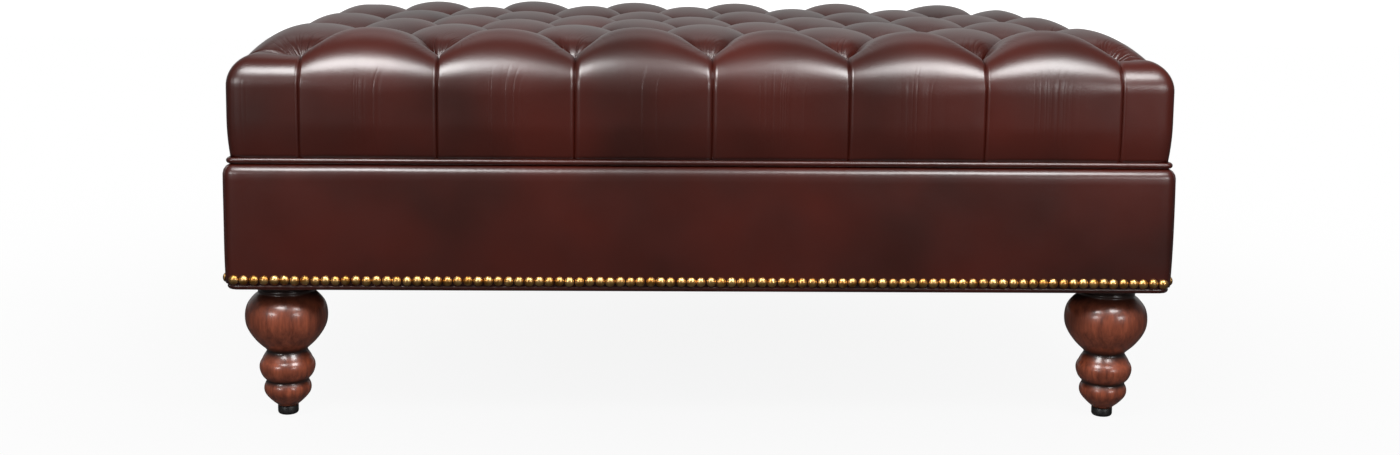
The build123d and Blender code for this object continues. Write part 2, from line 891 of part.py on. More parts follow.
def tie_washer():
    """Plain washer against the deck's underside."""
    with BuildPart() as washer:
        with BuildSketch(Plane.XY.offset(leather_top - tie_washer_thickness)):
            Circle(tie_washer_diameter / 2)
            Circle(twine_hole / 2, mode=Mode.SUBTRACT)
        extrude(amount=tie_washer_thickness)
    return washer.part


button, twine, washer = covered_button(), tuft_twine(), tie_washer()
for piece, level, name in (
    (button, pit_level, "tuft_buttons"),
    (twine, 0, "tufting_twine"),
    (washer, 0, "tie_washers"),
):
    places = [Location((x, y, level)) for x, y in tuft_spots()]
    save(Compound(children=[piece.moved(place) for place in places]), name)


# Turned legs: the outline's points are (radius, height above the floor)
def between(start, end, shares):
    """Point at its own share of the way from start to end, across and up."""
    return tuple(a + (b - a) * share for a, b, share in zip(start, end, shares))


def leg_outline():
    """Outline of half a leg, from its top face down to its foot."""
    top = (collar_radius, frame_bottom)
    collar = (collar_radius, frame_bottom - collar_height)
    neck = (neck_radius, neck_level)
    bead_top = between(neck, (neck_radius, collar[1]), (0, bead_share))
    hollow = (neck_radius - bead_depth / 2, (collar[1] + bead_top[1]) / 2)
    bead = (neck_radius + bead_depth, (bead_top[1] + neck_level) / 2)
    ball = (ball_radius, ball_level)
    upper_groove = (upper_groove_radius, upper_groove_level)
    ring = (upper_ring_radius, upper_ring_level)
    lower_groove = (lower_groove_radius, lower_groove_level)
    foot_ring = (lower_ring_radius, lower_ring_level)
    ankle = (ankle_radius, foot_level)
    shoulder = between(upper_groove, ring, ring_top_shares)
    under_ring = between(lower_groove, ring, ring_foot_shares)
    taper = between(ankle, foot_ring, foot_ring_shares)

    Polyline((0, foot_level), (0, frame_bottom), top, collar)
    ThreePointArc(collar, hollow, bead_top)
    ThreePointArc(bead_top, bead, neck)
    ThreePointArc(neck, between(neck, ball, ball_top_shares), ball)
    ThreePointArc(ball, between(upper_groove, ball, ball_foot_shares), upper_groove)
    Line(upper_groove, shoulder)
    ThreePointArc(shoulder, ring, under_ring)
    Line(under_ring, lower_groove)
    ThreePointArc(lower_groove, foot_ring, taper)
    Polyline(taper, ankle, (0, foot_level))


with BuildPart() as turned_leg:
    with BuildSketch(Plane.XZ):
        with BuildLine():
            leg_outline()
        make_face()
    revolve(axis=Axis.Z)
    with BuildSketch(Plane.XY.offset(frame_bottom - hanger_bolt_depth - bolt_clearance)):
        Circle((hanger_bolt_diameter + bolt_clearance) / 2)
    extrude(amount=hanger_bolt_depth + bolt_clearance, mode=Mode.SUBTRACT)
    with BuildSketch(Plane.XY.offset(foot_level)):
        Circle((insert_diameter + bolt_clearance) / 2)
    extrude(amount=insert_length, mode=Mode.SUBTRACT)
    with BuildSketch(Plane.XY.offset(foot_level)):
        Circle(stem_diameter / 2 + stem_clearance)
    extrude(amount=stem_length + stem_bore_spare, mode=Mode.SUBTRACT)

# Glide: a black base under the foot, on a threaded stem shown at its outer diameter
with BuildPart() as glide_base:
    with BuildSketch(Plane.XZ):
        with BuildLine():
            radius = glide_diameter / 2
            floor_radius = glide_floor_diameter / 2
            rim = radius - floor_radius
            eighth = rim * math.sqrt(1 / 2)
            rim_middle = (floor_radius + eighth, rim - eighth)
            ThreePointArc((floor_radius, 0), rim_middle, (radius, rim))
            Polyline(
                (radius, rim),
                (radius, glide_height),
                (0, glide_height),
                (0, 0),
                (floor_radius, 0),
            )
        make_face()
    revolve(axis=Axis.Z)
    with BuildSketch(Plane.XY.offset(glide_height - stem_socket_depth)):
        Circle(stem_diameter / 2 + socket_clearance)
    extrude(amount=stem_socket_depth, mode=Mode.SUBTRACT)

with BuildPart() as glide_stem:
    with BuildSketch(Plane.XY.offset(glide_height - stem_socket_depth)):
        Circle(stem_diameter / 2)
    extrude(amount=stem_socket_depth + foot_gap + stem_length)

for corner, (sx, sy) in CORNERS.items():
    place = Location((sx * leg_x, sy * leg_y, 0))
    save(turned_leg.part.moved(place), corner + "_leg")
    save(glide_base.part.moved(place), corner + "_glide_base")
    save(glide_stem.part.moved(place), corner + "_glide_stem")

with BuildPart() as foot_insert:
    with BuildSketch(Plane.XY.offset(foot_level)):
        Circle(insert_diameter / 2)
        Circle(stem_diameter / 2 + stem_clearance, mode=Mode.SUBTRACT)
    extrude(amount=insert_length)

with BuildPart() as hanger_bolt:
    with BuildSketch(Plane.XY.offset(frame_bottom - hanger_bolt_depth)):
        Circle(hanger_bolt_diameter / 2)
    bolt_reach = leg_block_height + t_nut_flange_thickness + hanger_bolt_stand
    extrude(amount=hanger_bolt_depth + bolt_reach)

with BuildPart() as t_nut:
    with BuildSketch(Plane.XY.offset(block_top - t_nut_barrel_length)):
        Circle(t_nut_barrel_diameter / 2)
    extrude(amount=t_nut_barrel_length)
    with BuildSketch(Plane.XY.offset(block_top)):
        Circle(t_nut_flange_diameter / 2)
    extrude(amount=t_nut_flange_thickness)
    with BuildSketch(Plane.XY.offset(block_top - t_nut_barrel_length)):
        Circle((hanger_bolt_diameter + bolt_clearance) / 2)
    extrude(amount=t_nut_barrel_length + t_nut_flange_thickness, mode=Mode.SUBTRACT)

leg_places = [Location((sx * leg_x, sy * leg_y, 0)) for sx, sy in CORNERS.values()]
for piece, name in (
    (foot_insert.part, "foot_inserts"),
    (hanger_bolt.part, "hanger_bolts"),
    (t_nut.part, "leg_t_nuts"),
):
    save(Compound(children=[piece.moved(place) for place in leg_places]), name)

# Dust cover under the frame with holes for the legs, and the staples that hold it
with BuildPart() as dust_cover:
    with BuildSketch(Plane.XY.offset(frame_bottom - dust_cover_thickness)):
        Rectangle(
            2 * (rail_face_x - dust_cover_inset / 2), 2 * (rail_face_y - dust_cover_inset / 2)
        )
        with Locations(*[(sx * leg_x, sy * leg_y) for sx, sy in CORNERS.values()]):
            Circle(collar_radius + leg_hole_clearance, mode=Mode.SUBTRACT)
    extrude(amount=dust_cover_thickness)
    staple_slots()
save(dust_cover.part, "dust_cover")

with BuildPart() as staple:
    with BuildSketch(Plane.XZ.offset(-staple_wire / 2)):
        low = frame_bottom - dust_cover_thickness - staple_wire
        high = frame_bottom + staple_leg
        reach = staple_width / 2
        Polygon(
            (-reach, low),
            (reach, low),
            (reach, high),
            (reach - staple_wire, high),
            (reach - staple_wire, low + staple_wire),
            (-reach + staple_wire, low + staple_wire),
            (-reach + staple_wire, high),
            (-reach, high),
            align=None,
        )
    extrude(amount=staple_wire)

staples = [staple.part.moved(Location((x, y, 0), (0, 0, turn))) for x, y, turn in staple_centres()]
save(Compound(children=staples), "dust_cover_staples")
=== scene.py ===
import json
import math
import random

import bmesh
import bpy
import numpy as np
from mathutils import Matrix, Vector


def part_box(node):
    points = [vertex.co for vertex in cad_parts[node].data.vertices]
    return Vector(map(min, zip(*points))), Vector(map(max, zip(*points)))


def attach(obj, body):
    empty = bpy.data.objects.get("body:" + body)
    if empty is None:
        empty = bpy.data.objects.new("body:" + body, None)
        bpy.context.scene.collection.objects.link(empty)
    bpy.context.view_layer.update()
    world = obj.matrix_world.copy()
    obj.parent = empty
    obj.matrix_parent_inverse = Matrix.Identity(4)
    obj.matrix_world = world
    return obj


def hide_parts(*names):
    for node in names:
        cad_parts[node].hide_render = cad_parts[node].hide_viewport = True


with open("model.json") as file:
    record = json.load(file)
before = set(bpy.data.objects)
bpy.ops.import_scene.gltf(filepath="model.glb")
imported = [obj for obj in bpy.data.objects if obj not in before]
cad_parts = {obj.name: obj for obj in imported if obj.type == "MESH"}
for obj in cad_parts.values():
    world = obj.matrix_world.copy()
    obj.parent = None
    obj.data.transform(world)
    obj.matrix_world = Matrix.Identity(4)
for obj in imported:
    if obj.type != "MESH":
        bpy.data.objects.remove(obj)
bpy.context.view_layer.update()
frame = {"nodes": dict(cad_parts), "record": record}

# The camera stands a little left of the middle, about two metres before the front and
# a little higher than the table, and looks slightly down. Its small shift keeps the feet
# of the legs and the top of the cushion in the picture.
camera_place = Vector((-0.1064, -2.5816, 0.6479))
camera_yaw = 0.0215
camera_pitch = 0.1219
camera_roll = 0.0088
camera_shift_x = 0.032
camera_shift_y = -0.0684
focal_length_px = 1685
image_width_px = 1400
sensor_width_mm = 36

camera_data = bpy.data.cameras.new("camera")
camera_data.sensor_width = sensor_width_mm
camera_data.lens = focal_length_px / image_width_px * sensor_width_mm
camera_data.shift_x = camera_shift_x
camera_data.shift_y = camera_shift_y
camera = bpy.data.objects.new("camera", camera_data)
looking = Vector((
    math.sin(camera_yaw) * math.cos(camera_pitch),
    math.cos(camera_yaw) * math.cos(camera_pitch),
    -math.sin(camera_pitch),
))
across = Vector((math.cos(camera_yaw), -math.sin(camera_yaw), 0))
upward = across.cross(looking)
tilted_across = across * math.cos(camera_roll) + upward * math.sin(camera_roll)
tilted_upward = upward * math.cos(camera_roll) - across * math.sin(camera_roll)
camera.matrix_world = Matrix((
    (tilted_across.x, tilted_upward.x, -looking.x, camera_place.x),
    (tilted_across.y, tilted_upward.y, -looking.y, camera_place.y),
    (tilted_across.z, tilted_upward.z, -looking.z, camera_place.z),
    (0, 0, 0, 1),
))
bpy.context.scene.collection.objects.link(camera)
bpy.context.scene.camera = camera
bpy.context.scene.view_settings.view_transform = "Standard"


# The finishes are worked out from a piece's own coordinates. A wire stands for one
# output of a node, and arithmetic on wires adds the nodes that do it.
class Wire:
    """One output of a material's node, with the arithmetic that the finishes use."""

    def __init__(self, tree, output=None):
        self.tree, self.output = tree, output

    def node(self, kind, settings=None, sockets=None, output=0):
        """Adds a node, makes its settings, fills or links its sockets, and wraps an output."""
        made = self.tree.nodes.new(kind)
        for name, value in (settings or {}).items():
            if name == "stops":
                ramp = made.color_ramp
                ramp.elements[0].position = value[0][0]
                ramp.elements[1].position = value[-1][0]
                for place, _ in value[1:-1]:
                    ramp.elements.new(place)
                for element, (_, level) in zip(ramp.elements, value):
                    element.color = (level, level, level, 1)
            else:
                setattr(made, name, value)
        for name, value in (sockets or {}).items():
            if isinstance(value, Wire):
                self.tree.links.new(value.output, made.inputs[name])
            else:
                made.inputs[name].default_value = value
        return Wire(self.tree, made.outputs[output])

    def math(self, operation, *values):
        """The result of a Math node on this wire and on other wires or numbers."""
        sockets = dict(enumerate((self, *values)))
        return self.node("ShaderNodeMath", {"operation": operation}, sockets)

    def __add__(self, other):
        return self.math("ADD", other)

    def __sub__(self, other):
        return self.math("SUBTRACT", other)

    def __rsub__(self, other):
        return self.node("ShaderNodeMath", {"operation": "SUBTRACT"}, {0: other, 1: self})

    def __mul__(self, other):
        return self.math("MULTIPLY", other)

    def __truediv__(self, other):
        return self.math("DIVIDE", other)

    def __pow__(self, other):
        return self.math("POWER", other)

    __radd__, __rmul__ = __add__, __mul__

    def axis(self, name):
        """The X, Y or Z of a vector."""
        return self.node("ShaderNodeSeparateXYZ", {}, {0: self}, name)

    def ramp(self, *stops):
        """A number passed through a ramp, whose stops are places and levels."""
        return self.node("ShaderNodeValToRGB", {"stops": stops}, {0: self})

    def noise(self, scale, detail, roughness, distortion=0.0):
        """Cloudy noise at so many waves to the metre, about 0.5 on average."""
        values = {"Vector": self, "Scale": scale, "Detail": detail,
                  "Roughness": roughness, "Distortion": distortion}
        return self.node("ShaderNodeTexNoise", {}, values, "Fac")

    def stretched(self, x, y, z):
        """A place with its axes drawn out or pressed together."""
        return self.node("ShaderNodeMapping", {}, {"Vector": self, "Scale": (x, y, z)})

    def blend(self, dark, light):
        """A colour between two, by this wire's share."""
        factor, first, second, mixed_colour = 0, 6, 7, 2
        sockets = {factor: self, first: dark, second: light}
        return self.node("ShaderNodeMix", {"data_type": "RGBA"}, sockets, mixed_colour)


def shade(piece, name, colour, roughness, height, relief, fixed=None):
    """Gives a piece one material. colour, roughness and height are functions of the
    place on the piece, relief is the depth that height stands for, in metres, and fixed
    holds the shader's numbers that are alike all over."""
    material = bpy.data.materials.get(name)
    if material is None:
        material = bpy.data.materials.new(name)
        material.use_nodes = True
        tree = material.node_tree
        shader = tree.nodes["Principled BSDF"]
        place = Wire(tree).node("ShaderNodeTexCoord", {}, {}, "Object")
        for socket, value in (("Base Color", colour(place)), ("Roughness", roughness(place))):
            tree.links.new(value.output, shader.inputs[socket])
        values = {"Height": height(place), "Distance": relief, "Strength": 1.0}
        bump = place.node("ShaderNodeBump", {}, values)
        tree.links.new(bump.output, shader.inputs["Normal"])
        for socket, value in (fixed or {}).items():
            shader.inputs[socket].default_value = value
    piece.data.materials.clear()
    piece.data.materials.append(material)


def rgb(red, green, blue):
    """A colour written as it looks, in steps of 255, turned to linear light."""
    full, dark_end, dark_slope, offset, gamma = 255, 10, 12.92, 0.055, 2.4
    linear = [
        ((c / full + offset) / (1 + offset)) ** gamma if c > dark_end else c / full / dark_slope
        for c in (red, green, blue)
    ]
    return (*linear, 1.0)


def settle(name, shaped, smooth=True):
    """Turns a finished mesh into an object at the origin, its faces turned outward."""
    bmesh.ops.recalc_face_normals(shaped, faces=shaped.faces[:])
    mesh = bpy.data.meshes.new(name)
    shaped.to_mesh(mesh)
    shaped.free()
    if smooth:
        mesh.shade_smooth()
    piece = bpy.data.objects.new(name, mesh)
    bpy.context.scene.collection.objects.link(piece)
    return piece


# The floor is plain and pale. To the camera it is white, with a soft shadow that fades out
# round the object. What the surfaces mirror of it is dim.
floor_size = 14.0
floor_grey = 0.2
floor_dullness = 0.9
floor_shadow_share = 0.1
floor_shadow_reach = 1.0
floor_sheen = 0.06

ground = bmesh.new()
bmesh.ops.create_grid(ground, x_segments=1, y_segments=1, size=floor_size / 2)
floor = settle("floor", ground, smooth=False)
floor_material = bpy.data.materials.new("pale_floor")
floor_material.use_nodes = True
floor_tree = floor_material.node_tree
floor_shader = floor_tree.nodes["Principled BSDF"]
floor_shader.inputs["Base Color"].default_value = (floor_grey, floor_grey, floor_grey, 1)
floor_shader.inputs["Roughness"].default_value = floor_dullness
rays = floor_tree.nodes.new("ShaderNodeLightPath")
spot = Wire(floor_tree).node("ShaderNodeTexCoord", {}, {}, "Object")
distance = spot.node("ShaderNodeVectorMath", {"operation": "LENGTH"}, {0: spot}, "Value")
shadowed = ((distance / floor_shadow_reach) ** 2 * -1).math("EXPONENT") * floor_shadow_share
straight = Wire(floor_tree, rays.outputs["Is Camera Ray"])
straight += Wire(floor_tree, rays.outputs["Is Transmission Ray"])
mirrored = Wire(floor_tree, rays.outputs["Is Glossy Ray"])
seen = straight * (1 - shadowed) + mirrored
brightness = straight + mirrored * floor_sheen
glow = seen.node("ShaderNodeEmission", {}, {"Color": brightness, "Strength": 1.0})
lit = Wire(floor_tree, floor_shader.outputs[0])
mixed = seen.node("ShaderNodeMixShader", {}, {0: seen, 1: lit, 2: glow})
floor_tree.links.new(mixed.output, floor_tree.nodes["Material Output"].inputs["Surface"])
floor.data.materials.append(floor_material)

# The room is white to the camera. It lights the object dimly from all round, and a little
# more from a wall behind it.
room_light = 0.12
wall_light = 0.3
wall_edge, wall_full = 0.5, 0.8
room = bpy.data.worlds.new("room")
bpy.context.scene.world = room
room.use_nodes = True
room_tree = room.node_tree
room_rays = room_tree.nodes.new("ShaderNodeLightPath")
room_seen = Wire(room_tree, room_rays.outputs["Is Camera Ray"])
direction = room_seen.node("ShaderNodeTexCoord", {}, {}, "Generated")
wall = direction.axis("Y").ramp((wall_edge, 0), (wall_full, 1))
room_level = room_seen * (1 - room_light) + room_light + wall * wall_light
backdrop = room_tree.nodes["Background"]
backdrop.inputs["Color"].default_value = (1, 1, 1, 1)
room_tree.links.new(room_level.output, backdrop.inputs["Strength"])

# Two soft boxes hang high before the object, left and right of its middle, and light the
# rolled edge of the cushion. Two more stand farther out and lower, and give every turned
# ball its pair of highlights. A weak one hangs above.
cushion_edge = Vector((0, -0.42, 0.45))
leg_level = Vector((0, -0.42, 0.2))
cushion_middle = Vector((0, 0, 0.4))

for lamp_name, place, target, wide, high, watts in (
    ("left_softbox", (-0.78, -1.56, 1.98), cushion_edge, 0.75, 0.7, 40),
    ("right_softbox", (0.84, -1.56, 1.98), cushion_edge, 0.8, 0.7, 39),
    ("left_side_box", (-2.46, -3.61, 1.4), leg_level, 1.1, 0.5, 36),
    ("right_side_box", (2.42, -4.07, 1.4), leg_level, 1.1, 0.5, 36),
    ("overhead", (0.0, 1.0, 2.6), cushion_middle, 2.4, 1.0, 4),
):
    lamp_data = bpy.data.lights.new(lamp_name, "AREA")
    lamp_data.shape = "RECTANGLE"
    lamp_data.size, lamp_data.size_y = wide, high
    lamp_data.energy = watts
    lamp = bpy.data.objects.new(lamp_name, lamp_data)
    lamp.location = place
    lamp.rotation_euler = (target - Vector(place)).to_track_quat("-Z", "Y").to_euler()
    bpy.context.scene.collection.objects.link(lamp)

# The cushion's cover is one waxed hide. Each tuft draws it down to a covered button, and
# between the tufts it is folded into pleats, so the filling swells up in diamonds. Beyond
# the outer tufts it rolls over the edge and runs down the sides, one pleat to each tuft.
cover_low, cover_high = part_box("tufted_cover")
buttons_low, buttons_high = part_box("tuft_buttons")
button_radius = 0.0105
full_row = 7
row_count = 7
cover_stand = 0.0012
crown_rise = 0.0065
fold_drop = 0.029
first_x, last_x = buttons_low.x + button_radius, buttons_high.x - button_radius
first_y, last_y = buttons_low.y + button_radius, buttons_high.y - button_radius
tuft_pitch = (last_x - first_x) / (full_row - 1)
row_spacing = (last_y - first_y) / (row_count - 1)
half_width = cover_high.x + cover_stand
half_depth = cover_high.y + cover_stand
cover_foot = cover_low.z
crown_level = cover_high.z + crown_rise
fold_level = crown_level - fold_drop
pit_floor_gap = 0.0008
pit_floor = buttons_low.z - pit_floor_gap
pit_floor_radius = 0.010
pit_wall_width = 0.006
pit_below_fold = 0.026
pit_reach = 0.027
crease_start = 0.012
lip_radius = 0.040
puff_lip_radius = 0.078
puff_swell_share = 0.06
puff_lean_share = 0.14
end_row_swell = 0.12
corner_power = 5
face_belly = 0.0022
belly_start_height = 0.04
foot_draw = 0.0035
foot_draw_height = 0.05
dome_power = 0.45
pleat_depth = 0.0032
pleat_half_width = 0.0026
mesh_step = 0.0047
snap_gap = 0.0005
level_gap = 0.001
line_gap = 0.0001
held_gap = 0.00001
flat_dome = 0.001
cell_gap = 1e-6
least_reach = 1e-9
far_off = 9.0

tufts = [
    (first_x + (column + (row % 2) / 2) * tuft_pitch, first_y + row * row_spacing)
    for row in range(row_count)
    for column in range(full_row - row % 2)
]

# The hide starts as a flat sheet with its sides hanging straight down.
hide = bmesh.new()
bmesh.ops.create_grid(
    hide,
    x_segments=round(2 * half_width / mesh_step),
    y_segments=round(2 * half_depth / mesh_step),
    size=0.5,
)
bmesh.ops.scale(hide, verts=hide.verts[:], vec=(2 * half_width, 2 * half_depth, 1))
bmesh.ops.translate(hide, verts=hide.verts[:], vec=(0, 0, fold_level))
side_steps = round((fold_level - cover_foot) / mesh_step)
hem = [edge for edge in hide.edges if edge.is_boundary]
for step in range(side_steps):
    drawn = bmesh.ops.extrude_edge_only(hide, edges=hem)["geom"]
    dropped = [part for part in drawn if isinstance(part, bmesh.types.BMVert)]
    bmesh.ops.translate(hide, verts=dropped, vec=(0, 0, (cover_foot - fold_level) / side_steps))
    hem = [part for part in drawn if isinstance(part, bmesh.types.BMEdge) and part.is_boundary]


def cut_across(shaped, point, normal, within=None):
    """Cuts an edge line through a mesh, or through the faces that lie within a test."""
    faces = [face for face in shaped.faces if within is None or within(face.calc_center_median())]
    parts = dict.fromkeys(faces)
    for face in faces:
        parts.update(dict.fromkeys((*face.edges, *face.verts)))
    bmesh.ops.bisect_plane(
        shaped, geom=list(parts), dist=snap_gap, plane_co=point, plane_no=normal,
        use_snap_center=True,
    )


# Edge lines are cut along every pleat and fold, and close to either side of each.
for offset in (-pleat_half_width, 0, pleat_half_width):
    for column in range(full_row):
        cut_across(hide, (first_x + column * tuft_pitch + offset, 0, 0), (1, 0, 0))
    for row in range(0, row_count, 2):
        cut_across(hide, (0, first_y + row * row_spacing + offset, 0), (0, 1, 0))


def among_tufts(place):
    """Whether a place lies between the outermost tufts, on the top."""
    inside = first_x < place.x < last_x and first_y < place.y < last_y
    return inside and place.z > fold_level - level_gap


for slant in (1, -1):
    fold_normal = Vector((row_spacing, -slant * tuft_pitch / 2, 0)).normalized()
    start_y = first_y if slant > 0 else last_y
    for line in range(-row_count // 2, full_row + row_count // 2):
        for offset in (-pleat_half_width, 0, pleat_half_width):
            start_x = first_x + line * tuft_pitch
            end_x = start_x + (row_count - 1) * tuft_pitch / 2
            if end_x > first_x and start_x < last_x:
                point = Vector((start_x, start_y, 0)) + fold_normal * offset
                cut_across(hide, point, fold_normal, among_tufts)

bmesh.ops.contextual_create(hide, geom=[edge for edge in hide.edges if edge.is_boundary])
cover = settle("cushion_cover", hide)

mesh = cover.data
places = np.empty(len(mesh.vertices) * 3)
mesh.vertices.foreach_get("co", places)
places = places.reshape(-1, 3)

# A cell is the diamond between four tufts. Its dome is 0 on the folds and 1 midway, and
# over the edge of the cushion the dome of the outermost tufts' line carries on outward.
x, y = places[:, 0], places[:, 1]
held_x = np.clip(x, first_x, last_x)
held_y = np.clip(y, first_y, last_y)
along = (held_x - first_x) / (tuft_pitch / 2)
rearward = (held_y - first_y) / row_spacing
rising, falling = (along + rearward) / 2, (along - rearward) / 2
rising_cell, falling_cell = np.floor(rising + cell_gap), np.floor(falling + cell_gap)
rising, falling = np.clip(rising - rising_cell, 0, 1), np.clip(falling - falling_cell, 0, 1)

chance = random.Random(7)
cells = range(32)
puff_swell = np.array([[chance.uniform(-1, 1) for _ in cells] for _ in cells])
puff_lean = np.array([[chance.uniform(-1, 1) for _ in cells] for _ in cells])
cell = (rising_cell.astype(int) % len(cells), falling_cell.astype(int) % len(cells))
swell = 1 + puff_swell_share * puff_swell[cell]
from_end_row = np.minimum(held_y - first_y, last_y - held_y) / row_spacing
swell += end_row_swell * np.clip(1 - from_end_row, 0, 1)
lean = np.exp(puff_lean_share * puff_lean[cell])
dome = 4 * rising**lean * (1 - rising**lean) * 4 * falling**lean * (1 - falling**lean)
dome = np.maximum(dome, 0) ** dome_power

from_tuft = np.full(len(x), far_off)
for tuft_x, tuft_y in tufts:
    from_tuft = np.minimum(from_tuft, np.hypot(x - tuft_x, y - tuft_y))

# Each place is pushed out from a smaller core, in the direction that it faces. So the edge
# is rounded, with a small radius at the pleats and a large one between them.
top_level = fold_level + (crown_level - fold_level) * swell * dome
share_up = (places[:, 2] - cover_foot) / (fold_level - cover_foot)
level = cover_foot + share_up * (top_level - cover_foot)
radius = lip_radius + (puff_lip_radius - lip_radius) * np.minimum(dome, 1)
drawn_out = np.column_stack((x, y, level))
core_reach = np.column_stack((half_width - radius, half_depth - radius))
core = drawn_out.copy()
core[:, :2] = np.clip(drawn_out[:, :2], -core_reach, core_reach)
core[:, 2] = np.minimum(level, top_level - radius)
facing = drawn_out - core
level_reach = (np.abs(facing[:, :2]) ** corner_power).sum(axis=1) ** (1 / corner_power)
facing /= np.maximum(np.hypot(level_reach, facing[:, 2]), least_reach)[:, None]
on_top = np.clip(facing[:, 2], 0, 1)

pit = pit_below_fold * np.exp(-((from_tuft / pit_reach) ** 2)) * (1 - np.minimum(dome, 1))
belly = np.sqrt(dome) * np.clip((level - cover_foot) / belly_start_height, 0, 1)
lift = face_belly * belly * (1 - on_top) - pit * on_top

# The pleats run from the outermost tufts over the edge and down the sides.
beyond_x = (x < first_x - level_gap) | (x > last_x + level_gap)
beyond_y = (y < first_y - level_gap) | (y > last_y + level_gap)
from_pleat = np.full(len(x), far_off)
for column in range(full_row):
    gap = np.abs(x - first_x - column * tuft_pitch)
    from_pleat = np.minimum(from_pleat, np.where(beyond_y, gap, far_off))
for row in range(0, row_count, 2):
    gap = np.abs(y - first_y - row * row_spacing)
    from_pleat = np.minimum(from_pleat, np.where(beyond_x, gap, far_off))
lift -= pleat_depth * np.clip(1 - from_pleat / pleat_half_width, 0, 1)

shaped_places = core + facing * (radius + lift)[:, None]
draw = foot_draw * np.clip(1 - (level - cover_foot) / foot_draw_height, 0, 1) ** 2
shaped_places[:, :2] -= facing[:, :2] * draw[:, None]
pit_wall = np.clip((from_tuft - pit_floor_radius) / pit_wall_width, 0, 1)
pit_wall = pit_wall * pit_wall * (3 - 2 * pit_wall)
over_floor = shaped_places[:, 2] - pit_floor
shaped_places[:, 2] = np.where(
    on_top > 0.5, pit_floor + over_floor * pit_wall, shaped_places[:, 2]
)
mesh.vertices.foreach_set("co", shaped_places.ravel())
mesh.update()

# The folds and pleats are creased sharply, and the rest is smooth.
in_fold = (dome < flat_dome) & (from_tuft > crease_start)
in_fold &= places[:, 2] > fold_level - level_gap
in_fold &= (np.abs(held_x - x) < held_gap) & (np.abs(held_y - y) < held_gap)
in_fold |= from_pleat < line_gap
ends = np.empty(len(mesh.edges) * 2, dtype=int)
mesh.edges.foreach_get("vertices", ends)
ends = ends.reshape(-1, 2)
sharp = mesh.attributes.new("sharp_edge", "BOOLEAN", "EDGE")
sharp.data.foreach_set("value", in_fold[ends[:, 0]] & in_fold[ends[:, 1]])

hide_dark, hide_warm = rgb(43, 9, 3), rgb(65, 15, 5)


def hide_colour(place):
    """Hand-rubbed brown: dark oxblood with warmer clouds."""
    clouds = place.noise(scale=6, detail=2, roughness=0.5).ramp((0.3, 0), (0.7, 1))
    return clouds.blend(hide_dark, hide_warm)


def hide_roughness(place):
    """Waxed leather, a little duller in places."""
    least, spread = 0.285, 0.08
    return place.noise(scale=20, detail=2, roughness=0.5) * spread + least


def hide_grain(place):
    """Fine pebbled grain and soft hairlike streaks, over the hide's own slow waves."""
    pebble_height, streak_height, wave_height = 0.3, 0.3, 1.2
    pebbles = place.node("ShaderNodeTexVoronoi", {"feature": "DISTANCE_TO_EDGE"},
                         {"Vector": place, "Scale": 620.0}, "Distance")
    streaks = place.stretched(1, 0.25, 0.25).noise(scale=260, detail=3, roughness=0.6)
    fine = pebbles.math("MINIMUM", 0.4) * pebble_height + streaks * streak_height
    return fine + place.noise(scale=42, detail=2, roughness=0.4) * wave_height


def tuft_creases(place):
    """Short creases that spread from each tuft, over the grain. Each tuft has its own."""
    twist, tuft_stride, crease_turns, crease_length = 9, 5, 3.4, 8
    sharpness, crease_height = 7, 7
    across_cells = (place.axis("X") - first_x) / (tuft_pitch / 2)
    along_cells = (place.axis("Y") - first_y) / row_spacing
    one = ((across_cells + along_cells) / 2).math("ROUND")
    other = ((across_cells - along_cells) / 2).math("ROUND")
    from_x = (across_cells - one - other) * (tuft_pitch / 2)
    from_y = (along_cells - one + other) * row_spacing
    reach = (from_x * from_x + from_y * from_y).math("SQRT")
    turned = from_y.math("ARCTAN2", from_x) + reach * twist
    spread = place.node("ShaderNodeCombineXYZ", {}, {
        0: turned.math("COSINE") * crease_turns + one * tuft_stride,
        1: turned.math("SINE") * crease_turns + other * tuft_stride,
        2: reach * crease_length,
    })
    near = reach.ramp((0.0, 0.3), (0.012, 1.0), (0.03, 0.55), (0.062, 0.0))
    folds = (spread.noise(scale=1.35, detail=1.5, roughness=0.4) * 2 - 1).math("ABSOLUTE")
    return hide_grain(place) - (1 - folds) ** sharpness * near * crease_height


leather_fixed = {"Coat Weight": 0.5, "Coat Roughness": 0.3}
shade(cover, "waxed_cushion_hide", hide_colour, hide_roughness, tuft_creases,
      relief=0.00022, fixed=leather_fixed)
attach(cover, "ottoman")
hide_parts("tufted_cover")

# A covered button sits in each pit: a domed shell wrapped in the same leather, held by
# twine that goes down through the filling and the deck.
button_height = buttons_high.z - buttons_low.z
button_foot_radius = button_radius * 0.94
button_edge = 0.0025
button_rings = 5
button_steps = 16
button_tilt = 0.08
any_turn = 6.28
merge_gap = 1e-6


def spun(outline, steps):
    """A closed turned shape, from an outline of radii and levels."""
    shaped = bmesh.new()
    line = [shaped.verts.new((radius, 0, level)) for radius, level in outline]
    for one, other in zip(line, line[1:]):
        shaped.edges.new((one, other))
    bmesh.ops.spin(
        shaped, geom=shaped.verts[:] + shaped.edges[:], axis=(0, 0, 1), cent=(0, 0, 0),
        steps=steps, angle=2 * math.pi, use_merge=True,
    )
    bmesh.ops.remove_doubles(shaped, verts=shaped.verts[:], dist=merge_gap)
    bmesh.ops.holes_fill(shaped, edges=[edge for edge in shaped.edges if edge.is_boundary])
    return shaped


def domed(foot_radius, radius, edge, height, rings, dome_foot=0.0):
    """The outline of a domed head, from its foot over its edge to the middle."""
    outline = [(foot_radius, 0), (radius, edge)]
    for ring in range(1, rings):
        turn = math.pi / 2 * ring / rings
        up = dome_foot + (height - dome_foot) * math.sin(turn)
        outline.append((radius * math.cos(turn), up))
    return outline + [(0, height)]


